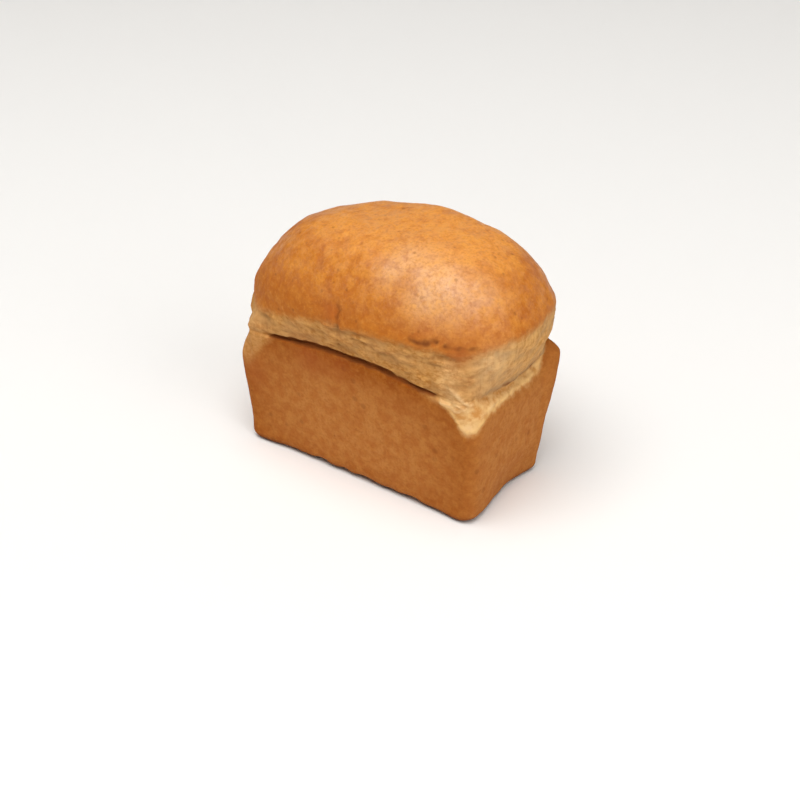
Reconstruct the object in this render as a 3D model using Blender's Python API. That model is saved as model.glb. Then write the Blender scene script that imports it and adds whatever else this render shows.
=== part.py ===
"""Small tin loaf, whole and uncut: one closed solid of bread.

Axes in metres: +X along the loaf, +Y across it, +Z up; the origin is the
centre of the flat base.  The loaf is a stack of rings.  From the bottom they
are the flat base, the rounded base edge, the leaning wall that the tin
shaped, the shoulder under the rim, the tear where the dough sprang out of
the tin, the pale band above it, and the dome.
"""

import bpy
import bmesh
import numpy as np

# --- the part the tin shaped -------------------------------------------------
BASE_LENGTH = 0.1612
BASE_WIDTH = 0.0745
BASE_EDGE = 0.0060        # radius of the edge all round the base
BASE_CORNER = 0.0070      # plan radius of the upright corners at the base
RIM_LENGTH = 0.1715
RIM_WIDTH = 0.0870
RIM_CORNER = 0.0085
END_HOLLOW = 0.0022       # how far the foot of each end curves in

# height of the tear line above the base, at the middle of each side
TEAR_FRONT = 0.0885
TEAR_BACK = 0.0845
TEAR_NEAR_END = 0.0790
TEAR_FAR_END = 0.0800
TEAR_BOW = 0.0075         # how much lower the tear runs at the far front corner
TEAR_LIFT = 0.0080        # how much higher the near end's hollow is at its corners
TEAR_DEPTH_LONG = 0.0042
TEAR_DEPTH_END = 0.0016
TEAR_HALF_LONG = 0.0019   # half height of the tear on the long sides
TEAR_HALF_END = 0.0050
SHOULDER_LONG = 0.0060    # height over which the wall rolls in below the tear
SHOULDER_END = 0.0130
SHOULDER_CORNER = 0.0220
SET_BACK_LONG = 0.0005    # how far the band stands in from the wall
SET_BACK_END = 0.0040
CORNER_IN_NEAR = 0.0040   # the front corners lean in below the rim
CORNER_IN_FAR = 0.0085
CORNER_OUT = 0.0042       # the near back corner is drawn out to a tip

# --- the risen part ----------------------------------------------------------
DOME_LENGTH = 0.1805
DOME_WIDTH = 0.1022
DOME_PLAN_POWER = 2.75     # squareness of the dome in plan, 2 = ellipse
CROWN_PLAN_POWER = 2.2
DOME_SHIFT_X = 0.0037
DOME_SHIFT_Y = 0.0030
WIDEST_NEAR = 0.1155      # height of the widest level, side by side
WIDEST_BACK = 0.1145
WIDEST_FAR = 0.1005
WIDEST_FRONT = 0.1090
CROWN_HEIGHT = 0.1525
CROWN_LEAN_X = 0.0050
CROWN_LEAN_Y = 0.0020
CROWN_RIDGE = 0.0070
CROWN_FALL = 3.6          # power of the fall from crown to shoulder
CROWN_ROUND = 1.41
# gentle rises of the dome: centre x and y, reach, height
SWELLS = (
    (0.020, 0.025, 0.026, 0.0022),
    (-0.060, 0.025, 0.026, -0.0028),
    (-0.060, -0.025, 0.026, 0.0010),
)

# --- how finely the rings are cut --------------------------------------------
QUARTER = 24              # columns in a quarter of a ring
BASE_RINGS = 3
EDGE_RINGS = 4
WALL_RINGS = 9
TEAR_RINGS = 11
BAND_RINGS = 5
DOME_RINGS = 15


def ease(value, low, high):
    """Smooth step: 0 at low, 1 at high, t * t * (3 - 2 t) between."""
    t = np.clip((value - low) / (high - low), 0.0, 1.0)
    return t * t * (3.0 - 2.0 * t)


def even_quarter(x, y):
    """A quarter of a ring cut into QUARTER equal lengths."""
    run = np.concatenate([[0.0], np.cumsum(np.hypot(np.diff(x), np.diff(y)))])
    cuts = np.linspace(0.0, run[-1], QUARTER + 1)
    return np.interp(cuts, run, x), np.interp(cuts, run, y)


def whole_ring(x, y):
    """Mirror a quarter ring into a whole one, anticlockwise from +X."""
    return (np.concatenate([x[:-1], -x[::-1][:-1], -x[:-1], x[::-1][:-1]]),
            np.concatenate([y[:-1], y[::-1][:-1], -y[:-1], -y[::-1][:-1]]))


def rounded_box(half_x, half_y, corner):
    """Ring of a rectangle with round corners."""
    t = np.linspace(0.0, np.pi / 2.0, 120)
    x = np.concatenate([[half_x], half_x - corner + corner * np.cos(t), [0.0]])
    y = np.concatenate([[0.0], half_y - corner + corner * np.sin(t), [half_y]])
    return whole_ring(*even_quarter(x, y))


def dome_ring(half_x, half_y, power):
    """Ring |x / half_x|^power + |y / half_y|^power = 1."""
    t = 0.5 - 0.5 * np.cos(np.pi * np.linspace(0.0, 1.0, 900))
    for _ in range(2):
        t = 0.5 - 0.5 * np.cos(np.pi * t)
    t = t * np.pi / 2.0
    x = half_x * np.clip(np.cos(t), 0.0, 1.0) ** (2.0 / power)
    y = half_y * np.clip(np.sin(t), 0.0, 1.0) ** (2.0 / power)
    x[-1], y[0] = 0.0, 0.0
    return whole_ring(*even_quarter(x, y))


def outward(x, y):
    """Plan direction pointing out of a ring at each of its points."""
    dx, dy = np.roll(x, -1) - np.roll(x, 1), np.roll(y, -1) - np.roll(y, 1)
    size = np.hypot(dx, dy)
    return dy / size, -dx / size


class Plan:
    """What each column of the loaf belongs to: which side, which corner."""

    def __init__(self):
        self.x, self.y = rounded_box(RIM_LENGTH / 2, RIM_WIDTH / 2, 0.014)
        self.nx, self.ny = outward(self.x, self.y)
        self.near, self.far = (np.clip(s * self.nx, 0, 1) ** 2 for s in (1, -1))
        self.back, self.front = (np.clip(s * self.ny, 0, 1) ** 2 for s in (1, -1))
        self.ends = self.near + self.far
        self.corner = 2.0 * np.abs(self.nx * self.ny)
        self.along = self.x / (RIM_LENGTH / 2)
        self.across = self.y / (RIM_WIDTH / 2)
        front, near = self.y < 0, self.x > 0
        self.near_front = self.corner * (front & near)
        self.far_front = self.corner * (front & ~near)
        self.near_back = self.corner * (~front & near)

    def mix(self, long_value, end_value):
        """One value for the long sides, another for the ends."""
        return long_value + (end_value - long_value) * self.ends

    def tear_height(self):
        front = TEAR_FRONT - TEAR_BOW * ease(-self.along, 0.0, 0.95)
        front = front - 0.003 * ease(self.along, 0.1, 0.8)
        near = TEAR_NEAR_END + TEAR_LIFT * np.abs(self.across - 0.15) ** 1.7
        return (self.front * front + self.near * near
                + self.back * TEAR_BACK + self.far * TEAR_FAR_END)

    def tear_depth(self):
        fade = (1.0 - ease(self.along, 0.62, 0.82)) * ease(self.along, -0.96, -0.72)
        depth = self.mix(TEAR_DEPTH_LONG, TEAR_DEPTH_END)
        return depth * (self.front * fade + (1.0 - self.front)) * (1.0 - 0.7 * self.corner)

    def widest_height(self, x, y):
        e, f = x / (DOME_LENGTH / 2), y / (DOME_WIDTH / 2)
        size = e * e + f * f
        ends = np.where(e > 0, WIDEST_NEAR, WIDEST_FAR)
        sides = np.where(f > 0, WIDEST_BACK, WIDEST_FRONT)
        return (e * e * ends + f * f * sides) / size


def base_rings():
    """Flat rings inside the base, then the rounded edge round it."""
    half_x, half_y = BASE_LENGTH / 2, BASE_WIDTH / 2
    for i in range(BASE_RINGS):
        y = (half_y - BASE_EDGE) * (i + 0.4) / BASE_RINGS
        x = half_x - half_y + y
        px, py = rounded_box(x, y, min(BASE_CORNER, 0.9 * y))
        yield foot_hollow(px, py, 0.0)
    for i in range(EDGE_RINGS):
        turn = np.pi / 2.0 * (i + 0.6) / (EDGE_RINGS + 0.4)
        inset, z = BASE_EDGE * (1 - np.sin(turn)), BASE_EDGE * (1 - np.cos(turn))
        px, py = rounded_box(half_x - inset, half_y - inset, BASE_CORNER)
        yield foot_hollow(px, py, z)


def foot_hollow(x, y, z):
    """Draw the middle of both ends in near the base."""
    middle = np.clip(1.0 - (y / (0.8 * BASE_WIDTH / 2)) ** 2, 0.0, 1.0) ** 2
    reach = ease(np.abs(x), BASE_LENGTH / 2 - 0.030, BASE_LENGTH / 2 - 0.006)
    amount = END_HOLLOW * middle * reach * (1.0 - ease(z, 0.004, 0.030))
    return x - np.sign(x) * amount, y, np.zeros_like(x) + z


def tin_ring(plan, z, tear, depth):
    """Ring of the tin-shaped part; z is a height for every column."""
    s = (z - BASE_EDGE) / (tear - BASE_EDGE)
    lean = (z - BASE_EDGE) / 0.080
    far = np.clip(lean.mean(), 0.0, 1.2)
    corner = BASE_CORNER + (RIM_CORNER - BASE_CORNER) * far
    x0, y0 = rounded_box(BASE_LENGTH / 2, BASE_WIDTH / 2, corner)
    x1, y1 = rounded_box(RIM_LENGTH / 2, RIM_WIDTH / 2, corner)
    x, y = x0 + (x1 - x0) * lean, y0 + (y1 - y0) * lean
    push = CORNER_OUT * plan.near_back * ease(s, 0.15, 0.92)
    push = push * (1.0 - ease(z, 0.078, 0.092))
    pull = CORNER_IN_NEAR * plan.near_front * ease(z, 0.058, 0.092)
    pull = pull + CORNER_IN_FAR * plan.far_front * ease(z, 0.066, 0.096)
    height = plan.mix(SHOULDER_LONG, SHOULDER_END)
    height = height + (SHOULDER_CORNER - height) * plan.corner * plan.front
    back = plan.mix(SET_BACK_LONG, SET_BACK_END)
    back = back * ease(z, tear - height, tear + 0.001)
    half = plan.mix(TEAR_HALF_LONG, TEAR_HALF_END)
    cut = depth * np.exp(-((z - tear) / half) ** 2)
    out = push - pull - back - cut
    return foot_hollow(x + plan.nx * out, y + plan.ny * out, z)


def uneven_rise(x, y):
    """Uneven rise of the dome: the sum of rounded bumps exp(-(d / reach)^2)."""
    total = np.zeros_like(x)
    for cx, cy, reach, height in SWELLS:
        total += height * np.exp(-((x - cx) ** 2 + (y - cy) ** 2) / reach ** 2)
    return total


def dome_level(fall):
    """Ring of the dome; fall is 1 at the widest level and 0 at the crown."""
    half_x, half_y = DOME_LENGTH / 2, DOME_WIDTH / 2
    power = CROWN_PLAN_POWER + (DOME_PLAN_POWER - CROWN_PLAN_POWER) * fall ** 3
    x, y = dome_ring(half_x * fall + CROWN_RIDGE * (1 - fall) ** 2, half_y * fall, power)
    reach = (np.abs(x / half_x) ** DOME_PLAN_POWER
             + np.abs(y / half_y) ** DOME_PLAN_POWER) ** (1.0 / DOME_PLAN_POWER)
    rise = np.clip(1.0 - reach ** CROWN_FALL, 0.0, 1.0) ** (1.0 / CROWN_ROUND)
    return x, y, rise


def loaf_rings():
    """Every ring of the loaf from the base to the crown."""
    plan = Plan()
    tear, depth = plan.tear_height(), plan.tear_depth()
    rings = list(base_rings())
    half = plan.mix(TEAR_HALF_LONG, TEAR_HALF_END)
    start, stop = tear - 2.6 * half, tear + 2.0 * half
    for i in range(WALL_RINGS):
        z = BASE_EDGE + (start - BASE_EDGE) * i / WALL_RINGS
        rings.append(tin_ring(plan, z, tear, depth))
    for i in range(TEAR_RINGS):
        z = start + (stop - start) * i / (TEAR_RINGS - 1)
        rings.append(tin_ring(plan, z, tear, depth))
    foot = rings[-1]
    x, y, _ = dome_level(1.0)
    widest = plan.widest_height(x, y)
    x, y = x + DOME_SHIFT_X, y + DOME_SHIFT_Y
    for i in range(1, BAND_RINGS + 1):
        s = i / BAND_RINGS
        swell = 1.0 - (1.0 - s) ** 1.6
        rings.append((foot[0] + (x - foot[0]) * swell,
                      foot[1] + (y - foot[1]) * swell,
                      foot[2] + (widest - foot[2]) * s))
    for i in range(1, DOME_RINGS + 1):
        fall = max(np.cos(np.pi / 2.0 * i / DOME_RINGS), 0.014)
        x, y, rise = dome_level(fall)
        level = plan.widest_height(x, y)
        lean = CROWN_LEAN_X * x / (DOME_LENGTH / 2) + CROWN_LEAN_Y * y / (DOME_WIDTH / 2)
        lean = lean + uneven_rise(x, y)
        rings.append((x + DOME_SHIFT_X, y + DOME_SHIFT_Y,
                      level + (CROWN_HEIGHT - level + lean) * rise))
    return np.array([np.stack(ring, axis=-1) for ring in rings])


def centred(points):
    """Move the points so that the base centre of their box is the origin."""
    low, high = points.min(axis=(0, 1)), points.max(axis=(0, 1))
    points[..., 0] -= (low[0] + high[0]) / 2
    points[..., 1] -= (low[1] + high[1]) / 2
    return points


def skin(rings):
    """Join the rings with faces and close both ends across their middle."""
    mesh = bmesh.new()
    rows = [[mesh.verts.new(p) for p in ring] for ring in rings.tolist()]
    count = len(rows[0])
    for low, high in zip(rows[:-1], rows[1:]):
        for i in range(count):
            j = (i + 1) % count
            mesh.faces.new((low[i], low[j], high[j], high[i]))
    for ring in (rows[0], rows[-1]):
        for i in range(count // 2):
            loop = [ring[i], ring[i + 1], ring[(count - i - 1) % count], ring[(count - i) % count]]
            mesh.faces.new(list(dict.fromkeys(loop)))
    bmesh.ops.recalc_face_normals(mesh, faces=mesh.faces)
    return mesh


def crust_material():
    material = bpy.data.materials.new("crust")
    material.use_nodes = True
    shader = material.node_tree.nodes["Principled BSDF"]
    shader.inputs["Base Color"].default_value = (0.47, 0.19, 0.06, 1.0)
    shader.inputs["Roughness"].default_value = 0.72
    return material


def clear_scene():
    for item in list(bpy.data.objects):
        bpy.data.objects.remove(item, do_unlink=True)


def main():
    clear_scene()
    mesh = skin(centred(loaf_rings()))
    data = bpy.data.meshes.new("tin_loaf")
    mesh.to_mesh(data)
    mesh.free()
    data.polygons.foreach_set("use_smooth", [True] * len(data.polygons))
    data.materials.append(crust_material())
    loaf = bpy.data.objects.new("tin_loaf", data)
    bpy.context.scene.collection.objects.link(loaf)


main()
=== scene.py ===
"""Small tin loaf, whole and uncut, with its finished crust.

The loaf is one closed skin.  Rings carry it from the flat base up the leaning
wall, over the rim, through the tear and the pale band to the shoulder of the
dome, and a grid closes the dome's crown.  Sizes are in millimetres until the
skin is handed over in metres.  Bread is never even, so every surface then gets
its own swells, wrinkles and pits, and the material paints the baked crust, the
tin-browned wall and the pale torn crumb from heights kept on the skin.
"""

import math

import bpy
import numpy as np
from mathutils import Matrix

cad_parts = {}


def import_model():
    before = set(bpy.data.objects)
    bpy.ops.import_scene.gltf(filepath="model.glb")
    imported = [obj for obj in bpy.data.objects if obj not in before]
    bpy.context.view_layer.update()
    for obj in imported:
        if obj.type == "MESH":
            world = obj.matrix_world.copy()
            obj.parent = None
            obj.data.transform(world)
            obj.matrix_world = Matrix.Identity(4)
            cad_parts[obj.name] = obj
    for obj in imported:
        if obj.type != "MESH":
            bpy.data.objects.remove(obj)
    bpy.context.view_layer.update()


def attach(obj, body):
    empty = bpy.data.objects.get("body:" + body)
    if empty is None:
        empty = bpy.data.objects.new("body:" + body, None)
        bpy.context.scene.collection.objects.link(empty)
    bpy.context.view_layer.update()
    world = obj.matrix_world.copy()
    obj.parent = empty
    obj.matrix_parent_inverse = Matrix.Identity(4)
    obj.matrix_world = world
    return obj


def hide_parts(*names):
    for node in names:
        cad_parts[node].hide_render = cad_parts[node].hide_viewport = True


# --- the part the tin shaped -------------------------------------------------
BASE_LENGTH, BASE_WIDTH = 161.2, 74.5
BASE_EDGE, BASE_CORNER = 6.0, 7.0
RIM_LENGTH, RIM_WIDTH, RIM_CORNER = 171.5, 87.0, 8.5
LEAN_HEIGHT = 80.0        # height over which the wall leans out from base to rim
PLAN_CORNER = 14.0        # corner of the ring that says which side a column is on
NEAR_HOLLOW, FAR_HOLLOW = 4.4, 2.2
HOLLOW_MIDDLE, HOLLOW_WIDTH = 5.0, 0.8
HOLLOW_REACH, HOLLOW_FADE = (30.0, 6.0), (4.0, 30.0)
SHOULDER_LONG, SHOULDER_END, SHOULDER_CORNER = 5.0, 13.0, 22.0
SET_BACK_LONG, SET_BACK_END = 0.4, 4.0
CORNER_IN_NEAR, CORNER_IN_FAR, CORNER_OUT = 4.0, 6.6, 4.2
CORNER_IN_NEAR_RUN, CORNER_IN_FAR_RUN = (58.0, 92.0), (56.0, 84.0)
CORNER_OUT_RUN, CORNER_BACK_IN, CORNER_BACK_IN_RUN = (0.05, 0.80), 1.7, (79.0, 89.0)

# --- the tear between the tin's rim and the risen dough ----------------------
TEAR_FRONT, TEAR_BACK, TEAR_NEAR_END, TEAR_FAR_END = 87.2, 84.5, 75.8, 80.0
FRONT_FALL_FAR, FRONT_FALL_FAR_RUN = 7.0, (0.0, 0.95)
FRONT_FALL_NEAR, FRONT_FALL_NEAR_RUN = 3.6, (0.1, 0.75)
NEAR_CURL, NEAR_CURL_START, NEAR_CURL_POWER = 6.4, 0.36, 1.8
NEAR_CLIMB, NEAR_CLIMB_START, BACK_CORNER_CLIMB = 20.0, 0.55, 4.5
SLIT_CLOSES_NEAR, SLIT_CLOSES_FAR = (0.64, 0.76), (-0.76, -0.58)
SLIT_WIDEST, SLIT_WIDE_RUN = -0.30, 0.16
SLIT_DEPTH, SLIT_HALF = (2.4, 1.0), (1.3, 0.5)    # everywhere, and more where widest
TEAR_POWER = 2.6
TEAR_SPREAD = (2.4, 2.0)  # how many halves below and above it are finely cut

# --- where colours begin: spots along a side, and heights --------------------
BROWNED_FRONT = ((-86, 47), (-77, 54), (-73, 59), (-68, 66), (-62, 73), (-56, 79), (-46, 88),
                 (40, 88), (49, 83.8), (56, 81.4), (61, 79.6), (66, 77.4), (70, 74),
                 (75, 67), (79, 64))
BROWNED_NEAR = ((-41, 64), (-36, 68.5), (-28, 72), (-17, 72.6), (5, 71.2), (15, 70.6),
                (25, 71.4), (30, 76), (33, 84), (36, 91), (40, 96))
CRUST_FRONT = ((-86, 89), (-70, 94), (-46, 99), (-30, 103.5), (-14, 107), (-4, 109),
               (-1, 105.5), (3, 108), (39, 110.5), (58, 111), (70, 108.5), (80, 112))
CRUST_NEAR = ((-40, 110), (-29, 114), (-19, 116.3), (-5, 117.3), (13, 118.2), (50, 117))
BROWNED_FAR, CRUST_FAR, CRUST_BACK = 66.0, 97.0, 103.0

# --- the risen part ----------------------------------------------------------
DOME_LENGTH, DOME_WIDTH = 180.5, 102.2
DOME_PLAN_POWER, CROWN_PLAN_POWER = 2.75, 2.2
DOME_SHIFT = (3.7, 3.0)
WIDEST = {"near": 115.5, "back": 114.5, "far": 100.5, "front": 109.0}
BAND_BULGE, BULGE_LESS_FAR, BULGE_LESS_NEAR = 1.6, 0.35, 0.6
CROWN_HEIGHT, CROWN_LEAN, CROWN_RIDGE = 152.5, (5.0, 2.0), 7.0
CROWN_FALL, CROWN_ROUND = 3.6, 1.41
SWELLS = ((20, 25, 26, 2.2), (-60, 25, 26, -2.8), (-60, -25, 26, 1.0))

# --- how finely the skin is cut ----------------------------------------------
QUARTER = 138
CROWN_GRID = (176, 100)   # cells along and across the crown; 2 * sum = a ring
ROWS = {"base": 4, "edge": 8, "wall": 46, "tear": 30, "band": 28, "dome": 22}
CROWN_START = 0.90        # how far out the crown grid begins
CORNER_CUTS, DOME_CUTS = 120, 1500    # steps round a corner, and a dome's quarter
LOOP_RADIUS = 80.0        # of the circle that noise round the loaf is read on


# --- small sums --------------------------------------------------------------
def from_mm(spot):
    """Millimetres as metres."""
    return np.asarray(spot, float) * 0.001


def ease(value, low, high):
    """Smooth step: 0 at low, 1 at high, t * t * (3 - 2 t) between."""
    t = np.clip((value - low) / (high - low), 0.0, 1.0)
    return t * t * (3.0 - 2.0 * t)


def hill(value, centre, half):
    """Bell: exp(-((value - centre) / half) squared)."""
    return np.exp(-(((value - centre) / half) ** 2))


def scatter(cell, seed, turn):
    """A number from -1 to 1 for each whole-number cell, by mixing its bits."""
    c = cell.astype(np.int64)
    h = c[..., 0] * 374761393 + c[..., 1] * 668265263 + c[..., 2] * 1440662683
    h = (h + seed * 1274126177 + turn * 97531) & 0xFFFFFFFF
    h = ((h ^ (h >> 13)) * 1103515245) & 0xFFFFFFFF
    h = ((h ^ (h >> 16)) * 668265263) & 0xFFFFFFFF
    return (h ^ (h >> 15)) / 4294967295.0 * 2.0 - 1.0


def grain(points, size, seed):
    """Gradient noise: each cell corner has its own slope, and the slopes are
    blended by 6 t^5 - 15 t^4 + 10 t^3 along each axis.  size is the cell in
    millimetres, one number or one for each axis."""
    p = points / np.asarray(size, float)
    low = np.floor(p)
    f = p - low
    w = f * f * f * (f * (f * 6.0 - 15.0) + 10.0)
    total = np.zeros(p.shape[:-1])
    for i in (0, 1):
        for j in (0, 1):
            for k in (0, 1):
                step = np.array([i, j, k])
                cell = low + step
                slope = sum(scatter(cell, seed, t) * (f[..., t] - step[t]) for t in (0, 1, 2))
                side = np.where(step, w, 1.0 - w)
                total += slope * side[..., 0] * side[..., 1] * side[..., 2]
    return total * 1.6


def layered(points, size, seed, layers=3, fade=0.5):
    """Sum of grains, each of half the cell size and fade times the strength."""
    size = np.asarray(size, float)
    total, strength = 0.0, 1.0
    for i in range(layers):
        total = total + strength * grain(points + 17.3 * i, size / 2 ** i, seed + i)
        strength *= fade
    return total


def off_path(points, path):
    """Distance in millimetres from each point to a line through the given spots."""
    path = np.asarray(path, float)
    best = np.full(points.shape[:-1], 1e9)
    for a, b in zip(path[:-1], path[1:]):
        run = b - a
        t = np.clip(((points - a) @ run) / (run @ run), 0.0, 1.0)
        best = np.minimum(best, np.linalg.norm(points - a - t[..., None] * run, axis=-1))
    return best


def on_line(value, spots):
    """Height at each value of a broken line through (place, height) spots."""
    place, height = np.transpose(spots)
    return np.interp(value, place, height)


# --- rings -------------------------------------------------------------------
def even_quarter(x, y):
    """A quarter of a ring cut into QUARTER equal lengths."""
    run = np.concatenate([[0.0], np.cumsum(np.hypot(np.diff(x), np.diff(y)))])
    cuts = np.linspace(0.0, run[-1], QUARTER + 1)
    return np.interp(cuts, run, x), np.interp(cuts, run, y)


def whole_ring(x, y):
    """Mirror a quarter ring into a whole one, anticlockwise from +X."""
    return (np.concatenate([x[:-1], -x[::-1][:-1], -x[:-1], x[::-1][:-1]]),
            np.concatenate([y[:-1], y[::-1][:-1], -y[:-1], -y[::-1][:-1]]))


def rounded_box(half_x, half_y, corner):
    """Ring of a rectangle with round corners."""
    t = np.linspace(0.0, np.pi / 2.0, CORNER_CUTS)
    x = np.concatenate([[half_x], half_x - corner + corner * np.cos(t), [0.0]])
    y = np.concatenate([[0.0], half_y - corner + corner * np.sin(t), [half_y]])
    return whole_ring(*even_quarter(x, y))


def dome_ring(half_x, half_y, power):
    """Ring |x / half_x|^power + |y / half_y|^power = 1; the angle's steps are
    eased three times over, so that the flat stretches get enough of them."""
    t = 0.5 - 0.5 * np.cos(np.pi * np.linspace(0.0, 1.0, DOME_CUTS))
    for _ in range(2):
        t = 0.5 - 0.5 * np.cos(np.pi * t)
    t = t * np.pi / 2.0
    x = half_x * np.clip(np.cos(t), 0.0, 1.0) ** (2.0 / power)
    y = half_y * np.clip(np.sin(t), 0.0, 1.0) ** (2.0 / power)
    x[-1], y[0] = 0.0, 0.0
    return whole_ring(*even_quarter(x, y))


def outward(x, y):
    """Plan direction pointing out of a ring at each of its points."""
    dx, dy = np.roll(x, -1) - np.roll(x, 1), np.roll(y, -1) - np.roll(y, 1)
    size = np.hypot(dx, dy)
    return dy / size, -dx / size


class Plan:
    """What each column of the loaf belongs to: which side and which corner,
    and the heights of the tear, of the browned wall and of the crust there."""

    def __init__(self):
        self.x, self.y = rounded_box(RIM_LENGTH / 2, RIM_WIDTH / 2, PLAN_CORNER)
        self.nx, self.ny = outward(self.x, self.y)
        self.near, self.far = (np.clip(s * self.nx, 0, 1) ** 2 for s in (1, -1))
        self.back, self.front = (np.clip(s * self.ny, 0, 1) ** 2 for s in (1, -1))
        self.ends = self.near + self.far
        self.corner = 2.0 * np.abs(self.nx * self.ny)
        self.along = self.x / (RIM_LENGTH / 2)
        self.across = self.y / (RIM_WIDTH / 2)
        front, near = self.y < 0, self.x > 0
        self.near_front = self.corner * (front & near)
        self.far_front = self.corner * (front & ~near)
        self.far_front_wide = np.where(self.front > self.far, np.sqrt(self.far_front),
                                       self.far_front)
        self.near_back = self.corner * (~front & near)
        around = np.arange(len(self.x)) / len(self.x) * 2.0 * np.pi
        self.loop = np.stack([LOOP_RADIUS * np.cos(around), LOOP_RADIUS * np.sin(around),
                              np.zeros_like(around)], axis=-1)
        self.bulge = (BAND_BULGE - BULGE_LESS_FAR * self.far_front
                      - BULGE_LESS_NEAR * (self.near_back + self.near_front))
        self.tear = self.tear_height()
        self.depth, self.half = self.tear_cut()
        self.browned = self.browned_height()
        self.crust = self.crust_height()

    def mix(self, long_value, end_value):
        """One value for the long sides, another for the ends."""
        return long_value + (end_value - long_value) * self.ends

    def sides(self, near, back, far, front):
        """Blend of four values by how much a column faces each side."""
        return self.near * near + self.back * back + self.far * far + self.front * front

    def wobble(self, size, seed, layers=2):
        """Noise that runs round the loaf and joins up with itself."""
        return layered(self.loop, size, seed, layers)

    def tear_height(self):
        """Front: highest in the middle and falling to both corners.  Near end:
        curling up to the front corner and climbing to the back one."""
        front = TEAR_FRONT - FRONT_FALL_FAR * ease(-self.along, *FRONT_FALL_FAR_RUN)
        front = front - FRONT_FALL_NEAR * ease(self.along, *FRONT_FALL_NEAR_RUN)
        curl = np.clip(NEAR_CURL_START - self.across, 0.0, None) ** NEAR_CURL_POWER
        near = TEAR_NEAR_END + NEAR_CURL * curl
        near = near + NEAR_CLIMB * np.clip(self.across - NEAR_CLIMB_START, 0.0, None)
        tear = self.sides(near, TEAR_BACK, TEAR_FAR_END, front)
        tear = tear + BACK_CORNER_CLIMB * self.near_back
        return tear + 0.35 * self.wobble(9.0, 3) + self.ends * 0.5 * self.wobble(16.0, 4)

    def tear_cut(self):
        """Depth of the tear and half its height, column by column: open along
        the front between the two places where the slit closes, and widest at
        one place, with noise on both."""
        open_part = ((1.0 - ease(self.along, *SLIT_CLOSES_NEAR))
                     * ease(self.along, *SLIT_CLOSES_FAR))
        wide = hill(self.along, SLIT_WIDEST, SLIT_WIDE_RUN)
        front = (SLIT_DEPTH[0] + SLIT_DEPTH[1] * wide) * open_part
        depth = self.sides(1.8, 3.2, 1.8, front) * (1.0 - 0.75 * self.corner)
        depth = depth * (1.0 + 0.22 * self.wobble(13.0, 8))
        half = self.sides(2.4, 1.3, 3.6, SLIT_HALF[0] + SLIT_HALF[1] * wide)
        return depth, half * (1.0 + 0.22 * self.wobble(8.0, 9))

    def browned_height(self):
        """Where the colour baked against the tin ends, and pale dough begins:
        lines along the front and the near end, noise about a level at the far
        end, and at the back just under the tear, lower at the far corner and
        higher at the near one."""
        front = on_line(self.x, BROWNED_FRONT)
        near = on_line(self.y, BROWNED_NEAR)
        far = BROWNED_FAR + 2.5 * self.wobble(30.0, 12)
        back = self.tear - 3.0 - 22.0 * ease(-self.along, 0.75, 0.97)
        back = back + 16.0 * ease(self.along, 0.78, 0.95)
        return self.sides(near, back, far, front) + 0.7 * self.wobble(6.0, 13)

    def crust_height(self):
        """Where the dome's brown crust begins above the pale band: lines along
        the front and the near end, noise about a level on the other two."""
        x, y, _ = dome_level(1.0)
        front = on_line(x + DOME_SHIFT[0], CRUST_FRONT)
        near = on_line(y + DOME_SHIFT[1], CRUST_NEAR)
        far = CRUST_FAR + 2.5 * self.wobble(34.0, 21)
        back = CRUST_BACK + 3.0 * self.wobble(40.0, 22)
        return self.sides(near, back, far, front) + 0.8 * self.wobble(7.0, 23)

    def widest_height(self, x, y):
        """Height at which the dome is widest: the heights of the end and the
        side, weighed by (x / half length)^2 and (y / half width)^2."""
        e, f = x / (DOME_LENGTH / 2), y / (DOME_WIDTH / 2)
        size = e * e + f * f + 1e-9
        ends = np.where(e > 0, WIDEST["near"], WIDEST["far"])
        sides = np.where(f > 0, WIDEST["back"], WIDEST["front"])
        return (e * e * ends + f * f * sides + 1e-9 * 110.0) / size


# --- the skin, level by level ------------------------------------------------
def foot_hollow(x, y, z):
    """Draw the middle of both ends in near the base, by depth * (1 - y^2)^2
    across the end, fading along the loaf and with height."""
    middle = 1.0 - ((y - HOLLOW_MIDDLE) / (HOLLOW_WIDTH * BASE_WIDTH / 2)) ** 2
    middle = np.clip(middle, 0.0, 1.0) ** 2
    half = BASE_LENGTH / 2
    reach = ease(np.abs(x), half - HOLLOW_REACH[0], half - HOLLOW_REACH[1])
    deep = np.where(x > 0, NEAR_HOLLOW, FAR_HOLLOW)
    amount = deep * middle * reach * (1.0 - ease(z, *HOLLOW_FADE))
    return x - np.sign(x) * amount, y, np.zeros_like(x) + z


def base_rings():
    """Flat rings inside the base, then the quarter-round edge."""
    half_x, half_y = BASE_LENGTH / 2, BASE_WIDTH / 2
    for i in range(ROWS["base"]):
        y = (half_y - BASE_EDGE) * (i + 0.4) / ROWS["base"]
        yield foot_hollow(*rounded_box(half_x - half_y + y, y, min(BASE_CORNER, 0.9 * y)), 0.0)
    for i in range(ROWS["edge"]):
        turn = np.pi / 2.0 * (i + 0.6) / (ROWS["edge"] + 0.4)
        inset, z = BASE_EDGE * (1 - np.sin(turn)), BASE_EDGE * (1 - np.cos(turn))
        yield foot_hollow(*rounded_box(half_x - inset, half_y - inset, BASE_CORNER), z)


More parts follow.
